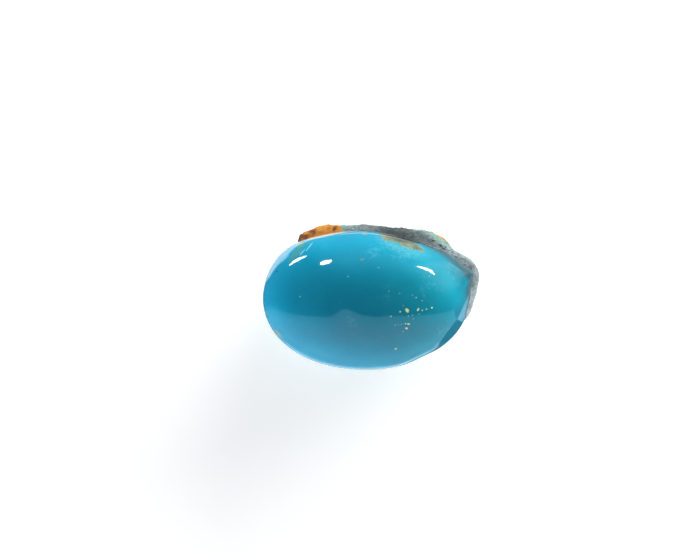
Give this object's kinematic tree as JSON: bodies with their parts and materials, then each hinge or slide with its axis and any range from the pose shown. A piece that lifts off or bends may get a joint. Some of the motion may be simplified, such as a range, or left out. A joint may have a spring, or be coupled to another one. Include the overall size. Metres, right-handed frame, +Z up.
{
  "type": "raw turquoise nugget",
  "caption": "Semi-raw turquoise stone with a polished oval dome, a rough ledge of grey host rock and brown crust at its rim, and a flat ground on its rough back.",
  "frame": {"origin": "centre of the bounding box in X and Y, on the flat ground on the back", "axes": "+X along the stone's length towards the cornered end, +Y across it towards the rough ledge, +Z up through the polished dome"},
  "size_m": [0.0166, 0.0112, 0.0062],
  "materials": {
    "turquoise": "polished dome, rough back"
  },
  "bodies": {
    "root": {"turquoise_nugget": "turquoise"}
  },
  "joints": []
}
